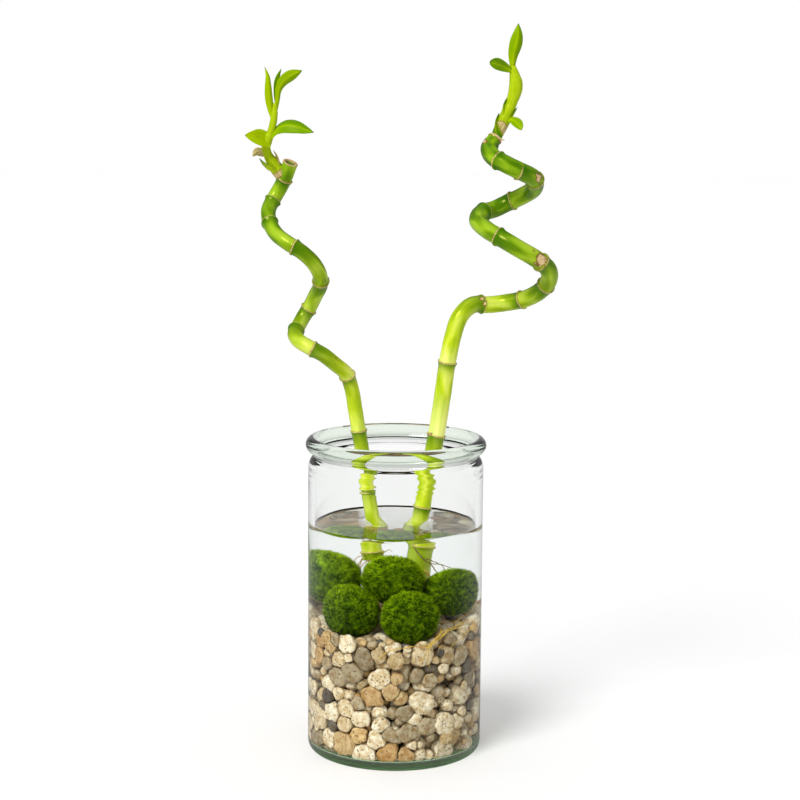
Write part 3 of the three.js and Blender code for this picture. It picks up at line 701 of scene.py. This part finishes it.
# Roots: thin yellow and brown roots that leave the canes low down, run over and under the moss balls
# and spread into the pebbles.
roots = {}
roots["roots_left"] = dict(
    foot=(-9.3, 13.5, 119), fine_count=16, reach=7.5, low=92, seed=10, first_age=0.35, age=0.35,
    routes=[
        [(-12, 10.5, 121.5), (-15.5, 6.5, 122.3), (-17.5, 5.2, 120.8), (-19, 5, 118)],
        [(-6, 10.5, 123), (-4.2, 7.5, 125.5), (-2.6, 6.5, 126.6), (-1.2, 6, 125.2)],
        [(-11.5, 9.8, 119.5), (-14.5, 6.5, 116.5), (-15.5, 6, 112), (-16.5, 7, 104)],
    ],
)
roots["roots_right"] = dict(
    foot=(9.3, 15, 84), fine_count=24, reach=10, low=76, seed=11, first_age=0.85, age=0.0,
    routes=[
        [(8, 9.8, 127.8), (12, 8.2, 121), (16.1, 8, 117.6), (20, 7, 117), (24, 6.5, 115.3), (29, 6, 112.5)],
        [(13.7, 10.5, 120), (17.5, 7, 118.5), (21, 4, 116.5), (23, 3, 113)],
        [(14.5, 12, 117), (18, 8, 112.6), (21, 5.5, 108.5), (22.5, 5, 104)],
        [(12.8, 10, 113), (15.2, 7.5, 108.5), (12.8, 3, 102), (11.5, -1.5, 96), (13, -6, 90), (17, -12, 82)],
        [(14, 8, 90), (18.5, -4, 84), (24, -9, 82.5), (31, -9, 84.5), (38, -7, 89), (43, -4, 95.5)],
        [(13, 8, 86), (21, -10, 83), (25, -32, 81.5), (22.8, -43.4, 78.8), (20, -44.9, 73.3),
         (19.1, -45.2, 68), (20.8, -44.5, 63.7)],
        [(22, -30, 80.5), (24, -42.5, 79.8), (19.8, -44.9, 76), (11.9, -47.6, 76.9), (4.1, -48.9, 76.1),
         (-3.8, -49, 74.3), (-8.5, -48.4, 69.4)],
        [(25, -33, 84), (26.7, -41.2, 83.5), (20.6, -44.6, 77.7), (17.6, -45.8, 70.8), (14.6, -46.9, 65.7)],
        [(22.8, -43.5, 79.4), (25.1, -42.2, 76.2), (28.2, -40.2, 72.8)],
        [(36, -20, 86), (39.3, -29.4, 85.5), (29.4, -39.3, 83.5), (22.4, -43.7, 79.5)],
        [(31.2, -37.9, 85), (25, -42.2, 79.8), (18, -45.7, 77.6), (12.7, -47.4, 79.4)],
        [(45.5, -18, 83), (41.2, -26.7, 79.3), (34.9, -34.6, 75.9), (32.2, -37.1, 73)],
        [(42, -25.4, 88), (35, -34.4, 86), (27, -41, 84), (24, -42.8, 80)],
    ],
)

thick_root, thin_root, fine_root = 0.36, 0.3, 0.26
root_skin, tree, surface = new_material("root_skin", Roughness=0.5)
where = add_node(tree, "TexCoord").outputs["Object"]
root_patches = noise(tree, where, 90.0, 2.0)
root_colour = ramp(
    tree, root_patches, (0.3, (0.42, 0.2, 0.02)), (0.5, (0.66, 0.42, 0.04)), (0.7, (0.75, 0.6, 0.1))
)
root_colour = blend(tree, stored(tree, "old"), root_colour, (0.09, 0.06, 0.02, 1))
plug(tree, surface.inputs["Base Color"], root_colour)

for name, plan in roots.items():
    random = np.random.default_rng(plan["seed"])
    x, y, z = plan["foot"]
    routes = [(points, thick_root if len(points) > 4 else thin_root) for points in plan["routes"]]
    for _ in range(plan["fine_count"]):
        turn = random.uniform(0, 2 * math.pi)
        reach = plan["reach"] * random.uniform(0.5, 1.0)
        start = z + random.uniform(0, 3)
        sway = random.uniform(-0.7, 0.7)
        drop = (start - plan["low"]) * np.array([0.4, 0.9 * random.uniform(0.5, 1.0)])
        stops = [
            (turn, 2, start + 1.5), (turn, 0.8 * reach, start - 1), (turn + sway, reach, start - drop[0]),
            (turn + 2 * sway, 0.8 * reach, start - drop[1]),
        ]
        points = [(x + out * math.cos(way), y + out * math.sin(way), height) for way, out, height in stops]
        routes.append((points, fine_root))
    skins, ages = [], []
    for number, (points, thickness) in enumerate(routes):
        route = Route(points)
        along = np.linspace(0, route.length, max(8, int(route.length / 0.9)))
        taper = thickness * np.linspace(1.15, 0.45, len(along)) * (1 + 0.12 * np.sin(along * 2.1 + number))
        rows = tube_rows(route, along, taper, 6)
        crooked = [wobble(rows.mean(1), 2.5, number + part) for part in (1, 2, 3)]
        skins.append(closed_skin(rows + 0.22 * np.stack(crooked, axis=1)[:, None]))
        ages.append(np.full(len(skins[-1][0]), plan["first_age"] if number < 3 else plan["age"]))
    piece = make_piece(name, *joined(skins), root_skin, "cane_skin", name.replace("roots", "cane"))
    store(piece, "old", np.concatenate(ages))


# Shoots: a young stem on each cane top, rolled from sheaths that step in at each mouth, with short
# pointed bracts and dry tan scales.
shoots = {}
shoots["shoot_left"] = dict(
    route=[
        (-69.5, 12, 351), (-75.3, 10, 359.5), (-78.2, 9, 364.3), (-79.3, 8, 369.1), (-78.4, 7.5, 373.3),
        (-76.2, 7, 378.6), (-74.7, 6.5, 384.6), (-74.1, 6.5, 390.5), (-73.8, 6.5, 395.2),
    ],
    profile=[
        (0, 3.4), (0.05, 4.0), (0.1, 4.1), (0.18, 4.0), (0.24, 3.8), (0.265, 3.6), (0.275, 3.15),
        (0.34, 2.7), (0.42, 2.6), (0.5, 3.1), (0.57, 2.95), (0.595, 2.8), (0.61, 2.25), (0.75, 2.2),
        (0.88, 2.1), (1, 1.2),
    ],
    scale=(0.03, 0.12, 0.0),
    bracts=[
        dict(path=[(-74.2, 8, 356), (-77, 6.2, 358), (-79.8, 5.6, 359.9), (-83.2, 5, 362.6)],
             width=6.4, across=(0.5, 0.6, -0.6), dry=0.1),
        dict(path=[(-72.2, 8.6, 357.5), (-72.5, 8.8, 360), (-73.4, 8, 363.4), (-75, 7.6, 367.4)],
             width=4.4, across=(0.3, -1, 0), dry=0.6),
        dict(path=[(-78.6, 8.6, 364.4), (-80.6, 7.6, 365.6), (-84, 5.5, 366.4), (-87.1, 3, 363.6)],
             width=5.2, across=(0.35, 0.35, 0.85), dry=1.0),
    ],
)
shoots["shoot_right"] = dict(
    route=[
        (57.6, 2.6, 374.6), (59.7, 3, 379.2), (62, 3, 384.5), (64.9, 3, 391), (67.4, 3, 397.5),
        (69.1, 3, 402.8), (69.6, 3, 407.5), (68.7, 3, 412.8), (67.5, 3, 418.1),
    ],
    profile=[
        (0, 3.0), (0.05, 3.3), (0.1, 3.5), (0.2, 3.9), (0.29, 4.1), (0.315, 4.0), (0.33, 3.65),
        (0.4, 3.7), (0.455, 3.8), (0.47, 3.75), (0.48, 3.45), (0.6, 3.7), (0.7, 4.15), (0.8, 3.9),
        (0.9, 2.9), (1, 1.7),
    ],
    scale=(0.1, 0.27, 0.55),
    bracts=[
        dict(path=[(59.8, 1.6, 377.4), (59, 0.9, 380.6), (59, 0.8, 384.5), (59.8, 1.2, 390.6)], width=5.5,
             across=(0.3, 1, 0)),
        dict(path=[(64, 1.6, 388), (63.6, 1, 391), (63.4, 1, 394.4), (64.1, 1, 399.3)], width=5,
             across=(0.3, 1, 0)),
        dict(path=[(65.8, 2, 384), (67.6, 1.7, 387.4), (69.1, 1.6, 390.4), (70.8, 1.6, 394.2)], width=4.5,
             across=(0, 1, 0)),
        dict(path=[(58.4, 2, 377.2), (59.8, 0, 375.8), (61.6, -1, 374.4), (63.4, -2, 374.9)], width=1.8,
             across=(0, 0.8, 0.6), dry=1.0),
    ],
)


def blade_rows(shape, stations=26, lanes=9, thick=0.42):
    """Loops of points round a thin blade folded along its midrib, with the place on the blade of each"""
    route = Route(shape["path"])
    belly, foot, tip = shape.get("belly", 0.45), shape.get("foot", 0.35), shape.get("tip", 0.85)
    t = np.linspace(0, 1, stations) ** 0.9
    rising = foot + (1 - foot) * np.sin(math.pi / 2 * np.minimum(1, t / belly)) ** shape.get("neck", 1)
    falling = np.cos(math.pi / 2 * np.clip((t - belly) / (1 - belly), 0, 1)) ** tip
    half = np.maximum(0.12, shape["width"] / 2 * np.minimum(rising, falling))
    place, heading, _, _ = route.at(t * route.length)
    across = np.array(shape["across"], float)
    side = unit(across - heading * (heading @ across)[:, None])
    up = np.cross(heading, side)
    lane = np.linspace(-1, 1, lanes)
    lane = np.concatenate([lane, -lane])
    face = np.repeat([1, -1], lanes)
    edge = thick / 2 * (1 - 0.75 * np.abs(lane) ** 3) * face
    thin = np.interp(t, [0, 0.8, 1], [1, 0.8, 0.4])[:, None]
    fold = shape.get("fold", 0.35) * np.sqrt(lane**2 + 0.02) * half[:, None]
    rise = fold + edge * thin
    rows = place[:, None] + side[:, None] * (lane * half[:, None])[..., None] + up[:, None] * rise[..., None]
    spot = np.stack([np.broadcast_to(t[:, None], rise.shape) * route.length, lane * half[:, None],
                     np.broadcast_to(lane, rise.shape)], axis=-1)
    return rows[:, ::-1], spot[:, ::-1]


shoot_skin, tree, surface = new_material(
    "shoot_skin", Roughness=0.32, Specular_IOR_Level=0.12, Specular_Tint=plant_gloss
)
lines = fibres(tree, (0.04, 1.0, 1.0), 1.8, 4.0)
young = ramp(tree, lines, (0.35, (0.28, 0.42, 0.001)), (0.65, (0.43, 0.53, 0.01)))
young = blend(tree, stored(tree, "dark"), young, (0.04, 0.15, 0.001, 1))
husk = ramp(tree, lines, (0.35, (0.36, 0.26, 0.08)), (0.65, (0.62, 0.51, 0.24)))
husk_inside = share_of(tree, stored(tree, "dry"), 0.45, 0.8)
husk_edge = share_of(tree, stored(tree, "dry"), 0.1, 0.4)
husk = blend(tree, husk_inside, (0.22, 0.13, 0.03, 1), husk)
plug(tree, surface.inputs["Base Color"], blend(tree, husk_edge, young, husk))
raised(tree, surface, lines, 0.15, 0.0002)

for name, shoot in shoots.items():
    route = Route(shoot["route"])
    sides = 24
    share = np.linspace(0, 1, 90)[:, None]
    along = share[:, 0] * route.length
    radius = np.interp(share[:, 0], *zip(*shoot["profile"]))
    turn = turns(sides)
    rows = tube_rows(route, along, radius, sides)

    # The dry scale and the dark sheath under it slant across the stem
    rightward = (rows[..., 0] - route.at(along)[0][:, None, 0]) / radius[:, None]
    low, high, slant = shoot["scale"]
    lower_edge = low + slant * 0.14 * (0.6 - rightward)
    upper_edge = high - slant * 0.08 * np.abs(rightward + 0.1)
    dry = np.clip((share - lower_edge) / 0.02, 0, 1) * np.clip((upper_edge - share) / 0.02, 0, 1)
    dry = np.maximum(dry, np.exp(-((share - 0.01) / 0.02) ** 2))
    dark = 0.9 * np.clip((lower_edge - share) / 0.015, 0, 1) + 0.12 * np.exp(-((share - 0.3) / 0.1) ** 2)

    skins = [closed_skin(rows)]
    skin_place = [along[:, None] + 0 * turn, np.outer(radius, np.cos(turn)), np.outer(radius, np.sin(turn))]
    places = [np.stack(skin_place, axis=-1).reshape(-1, 3), np.zeros((2, 3))]
    dries = [dry.ravel(), [0, 0]]
    darks = [dark.ravel(), [0, 0]]
    for bract in shoot["bracts"]:
        rows, spot = blade_rows(dict(bract, foot=0.6, fold=0.4), stations=16, lanes=7)
        skins.append(closed_skin(rows))
        places += [spot.reshape(-1, 3), np.zeros((2, 3))]
        from_foot = np.append((spot[..., 0] / spot[..., 0].max()).ravel(), [0, 1])
        dries.append(0 * from_foot + bract.get("dry", 0))
        darks.append(np.clip(1.6 * from_foot - 0.5, 0, 1))
    piece = make_piece(name + "_sheaths", *joined(skins), shoot_skin, "shoot_skin", name)
    store(piece, "along_skin", np.vstack(places))
    store(piece, "dry", np.concatenate(dries))
    store(piece, "dark", np.concatenate(darks))


# Leaves: thin blades with fine lengthwise veins, each clasping its shoot by its foot.
leaves = {}
# This blade's full yellow is partly its colour and partly painted light coming through the thin blade
leaves["leaf_left_low"] = dict(
    width=11.4, across=(-0.1, 0.45, 0.9), fold=-0.35, belly=0.35, foot=0.85, tip=0.7, yellow=1, dark=0,
    path=[(-77.4, 6.6, 371.9), (-78.9, 5.6, 372.6), (-82.4, 2.6, 373.8), (-86.6, -1, 374.8),
          (-91, -3.5, 376.2)],
)
leaves["leaf_left_arching"] = dict(
    width=9.5, across=(0.1, 0.55, 0.83), fold=-0.3, belly=0.5, yellow=0.2, dark=0.2,
    path=[(-76.6, 6, 374.5), (-73, 4.6, 379.6), (-67.6, 2.6, 382.2), (-60.9, 0.4, 381.8),
          (-54.9, -1, 379.8), (-50.2, -2, 378.2)],
)
leaves["leaf_left_upright"] = dict(
    width=5, across=(0.9, 0.45, 0), fold=0.5, belly=0.4, foot=0.5, yellow=0.8, dark=0.1,
    path=[(-74.8, 5.6, 386), (-76, 4.5, 392.3), (-76.8, 3, 398.8), (-77.2, 2.5, 405.2),
          (-77.7, 3, 411.1), (-79.7, 4, 416.5)],
)
leaves["leaf_left_spear"] = dict(
    width=7, across=(0.55, 0.35, -0.8), fold=0.3, belly=0.7, foot=0.42, neck=4, yellow=0.55, dark=0.2,
    path=[(-73.4, 6.5, 391), (-72.1, 6.5, 397.5), (-71.5, 6, 402.9), (-69.2, 5, 407.4),
          (-64.2, 2, 411.2), (-57.3, -1, 414.4)],
)
leaves["leaf_left_tip"] = dict(
    width=4, across=(0.8, 0.6, 0), fold=0.4, belly=0.5, foot=0.5, yellow=0.1, dark=0.5,
    path=[(-72.9, 8.8, 394.5), (-72.8, 9.4, 402), (-72.2, 9.8, 409.4), (-70.2, 10.6, 415.6)],
)
leaves["leaf_right_top"] = dict(
    width=7.8, across=(1, 0.15, 0), belly=0.55, foot=0.42, neck=1.5, yellow=0.4, dark=0.4,
    path=[(67.5, 3, 417), (67.8, 2.4, 423.9), (69.2, 1.8, 430.3), (70.3, 2.5, 436.8), (70.6, 4, 443)],
)
leaves["leaf_right_side"] = dict(
    width=7, across=(0.35, 0.2, 0.9), fold=-0.25, belly=0.7, foot=0.3, tip=0.5, yellow=0.2, dark=0.2,
    path=[(67.6, 2, 414.8), (62.1, -1.6, 417.4), (57.7, -5.4, 419.1), (53.2, -8.6, 420)],
)
leaves["leaf_right_low"] = dict(
    width=6.2, across=(0.6, 0.4, 0.6), fold=0.3, belly=0.6, foot=0.45, tip=0.55, yellow=0.45, dark=0.1,
    path=[(65, 1, 387), (69.1, -2.8, 385.4), (71.3, -5.8, 383), (72.6, -7.8, 380.6)],
)

leaf_skin, tree, surface = new_material(
    "leaf_skin", Roughness=0.3, Specular_IOR_Level=0.1, Specular_Tint=plant_gloss
)
veins = fibres(tree, (0.03, 1.0, 0.0), 3.2, 3.0)
green = ramp(tree, veins, (0.35, (0.07, 0.2, 0.0)), (0.65, (0.11, 0.27, 0.0)))
lime = ramp(tree, veins, (0.35, (0.28, 0.42, 0.0)), (0.65, (0.4, 0.52, 0.001)))
leaf_colour = blend(tree, stored(tree, "yellow"), green, lime)
leaf_colour = blend(tree, stored(tree, "dark"), leaf_colour, (0.03, 0.12, 0.001, 1))
plug(tree, surface.inputs["Base Color"], leaf_colour)
raised(tree, surface, veins, 0.3, 0.0002)

for name, leaf in leaves.items():
    rows, spot = blade_rows(leaf, stations=44, lanes=13)
    points, faces = closed_skin(rows)
    along = np.append((spot[..., 0] / spot[..., 0].max()).ravel(), [0, 1])
    lane = np.append(spot[..., 2].ravel(), [0, 0])
    midrib = np.exp(-((lane / 0.14) ** 2))
    piece = make_piece(name + "_blade", points, faces, leaf_skin, "leaf_skin", name)
    store(piece, "along_skin", np.vstack([spot.reshape(-1, 3), np.zeros((2, 3))]))
    yellow = leaf["yellow"] + 0.45 * midrib + 0.5 * np.exp(-((along / 0.25) ** 2))
    store(piece, "yellow", np.clip(yellow, 0, 1))
    # Painted shade over one half of the folded blade, and darker towards the very tip
    darkness = leaf["dark"] * np.clip(lane * 1.5, 0, 1) + 0.9 * np.clip((along - 0.93) / 0.07, 0, 1)
    store(piece, "dark", np.clip(darkness, 0, 0.9))


# Water: clear still water that fills the jar between everything else. Its edge climbs a little up the
# glass and round each cane.
into_glass = 0.15
edge_climb = 1.3
cane_climb = 1.1

water_low = np.vstack([
    [[2, jar_floor], [30, jar_floor]],
    inside_corner,
    upright(jar_inner, 12, water_level - 2, 24),
])
water_low[:, 0] += np.where(water_low[:, 1] > 6.5, into_glass, 0)
water_low[:, 1] -= np.where(water_low[:, 0] < 47.5, into_glass, 0)
rim_in = np.concatenate([[0.0, 0.08, 0.2, 0.4, 0.7, 1.1, 1.6, 2.2, 3, 4, 5.5], np.linspace(7, 47.6, 44)])
surface_reach = jar_inner + into_glass - rim_in
surface_height = water_level + edge_climb * np.exp(-np.maximum(rim_in - into_glass, 0) / 1.1)
water_rows = turned(np.vstack([water_low, np.stack([surface_reach, surface_height], axis=1)]), 160)
top = water_rows[len(water_low):]
for route in cane_routes.values():
    place = route.places[np.abs(route.places[:, 2] - water_level).argmin()]
    distance = np.linalg.norm(top[..., :2] - place[:2], axis=-1)
    top[..., 2] += cane_climb * np.exp(-np.maximum(distance - 4.8, 0) / 1.3)

clear_water, _, _ = clear_material("clear_water", 1.333, (0.6, 0.85, 0.75, 1), 0.8)
make_piece("clear_water_body", *closed_skin(water_rows), clear_water, "clear_water", "water")


# Studio: a plain white floor under soft light from the upper left, with dim bands all round that give
# the clear glass its edges.
floor_mesh = bpy.data.meshes.new("floor")
floor_mesh.from_pydata([(-6, -6, 0), (6, -6, 0), (6, 9, 0), (-6, 9, 0)], [], [(0, 1, 2, 3)])
floor = new_object("floor", floor_mesh)


def calc(tree, operation, first, second=0.0):
    """A sum done for each ray"""
    made = add_node(tree, "Math", operation=operation)
    plug(tree, made.inputs[0], first)
    plug(tree, made.inputs[1], second)
    return made.outputs[0]


# The floor is a little dimmer where the glass mirrors it
floor_paint, tree, surface = new_material(
    "floor_paint", Base_Color=(0.8, 0.8, 0.8, 1), Roughness=0.9, Emission_Color=(1, 1, 1, 1),
    Emission_Strength=0.09,
)
ray = add_node(tree, "LightPath").outputs
mirror_ray = calc(tree, "MULTIPLY", ray["Is Glossy Ray"], ray["Is Reflection Ray"])
dimmed_share = add_node(tree, "MapRange", Value=mirror_ray, To_Max=0.6).outputs[0]
dimmed = add_node(tree, "MixShader", Fac=dimmed_share)
tree.links.new(surface.outputs[0], dimmed.inputs[1])
tree.links.new(dimmed.outputs[0], tree.nodes["Material Output"].inputs["Surface"])
floor_mesh.materials.append(floor_paint)

world = bpy.data.worlds.new("studio")
bpy.context.scene.world = world
world.use_nodes = True
tree = world.node_tree


def eased(tree, value, low, high, first, last):
    """Runs smoothly from first to last while the value runs from low to high"""
    made = add_node(tree, "MapRange", interpolation_type="SMOOTHSTEP", Value=value, From_Min=low,
                    From_Max=high, To_Min=first, To_Max=last)
    return made.outputs[0]


# Dim upright bands, which the rim and the walls show as their dark edges
band_count = 8.0
direction = add_node(tree, "SeparateXYZ", Vector=add_node(tree, "TexCoord").outputs["Generated"])
azimuth = calc(tree, "ARCTAN2", direction.outputs[1], direction.outputs[0])
band_wave = calc(tree, "COSINE", calc(tree, "MULTIPLY", azimuth, band_count))
band = eased(tree, calc(tree, "MULTIPLY", band_wave, -1.0), 0.3, 0.95, 0.0, 1.0)
height = calc(tree, "ABSOLUTE", direction.outputs[2])
band = calc(tree, "MULTIPLY", band, eased(tree, height, 0.75, 0.95, 1.0, 0.0))
seen_light = calc(tree, "SUBTRACT", 0.92, calc(tree, "MULTIPLY", band, 0.35))

# A little darker above the horizon than overhead, and dimmer in reflections. All else gets soft light.
above = eased(tree, direction.outputs[2], 0.1, 0.24, 0.0, 0.25)
overhead = eased(tree, direction.outputs[2], 0.8, 0.95, 1.0, 0.0)
lit_share = calc(tree, "SUBTRACT", 1.0, calc(tree, "MULTIPLY", above, overhead))
seen_light = calc(tree, "MULTIPLY", seen_light, lit_share)
ray = add_node(tree, "LightPath").outputs
mirror_dim = calc(tree, "SUBTRACT", 0.8, calc(tree, "MULTIPLY", ray["Is Singular Ray"], 0.4))
mirrored = calc(tree, "MULTIPLY", ray["Is Reflection Ray"], mirror_dim)
seen_light = calc(tree, "MULTIPLY", seen_light, calc(tree, "SUBTRACT", 1.0, mirrored))
clear_ray = calc(tree, "MAXIMUM", ray["Is Glossy Ray"], ray["Is Transmission Ray"])
soft_light = calc(tree, "MULTIPLY", calc(tree, "SUBTRACT", 1.0, clear_ray), 0.66)
seen_light = calc(tree, "ADD", calc(tree, "MULTIPLY", seen_light, clear_ray), soft_light)
strength = calc(tree, "MAXIMUM", ray["Is Camera Ray"], seen_light)
tree.links.new(strength, tree.nodes["Background"].inputs["Strength"])
tree.nodes["Background"].inputs["Color"].default_value = (1, 1, 1, 1)

key = bpy.data.lights.new("key", "SUN")
key.energy = 2.6
key.angle = math.radians(24)
key_light = new_object("key", key)
key_light.rotation_euler = (math.radians(38), math.radians(-34), 0)

# The photo's own view: 1.2 m in front, looking a little down, with a slight roll
look_down = math.radians(8.74)
roll = math.radians(0.45)
lens = bpy.data.cameras.new("camera")
lens.lens = 90
lens.sensor_width = 36
camera = new_object("camera", lens)
camera.matrix_world = (
    Matrix.Translation((0.0022, -1.2, 0.402)) @ Matrix.Rotation(math.pi / 2 - look_down, 4, "X")
    @ Matrix.Rotation(roll, 4, "Z")
)
scene = bpy.context.scene
scene.camera = camera
scene.view_settings.view_transform = "Standard"
scene.cycles.caustics_reflective = False
scene.cycles.caustics_refractive = False
scene.cycles.max_bounces = 20
scene.cycles.transmission_bounces = 20
scene.cycles.transparent_max_bounces = 16
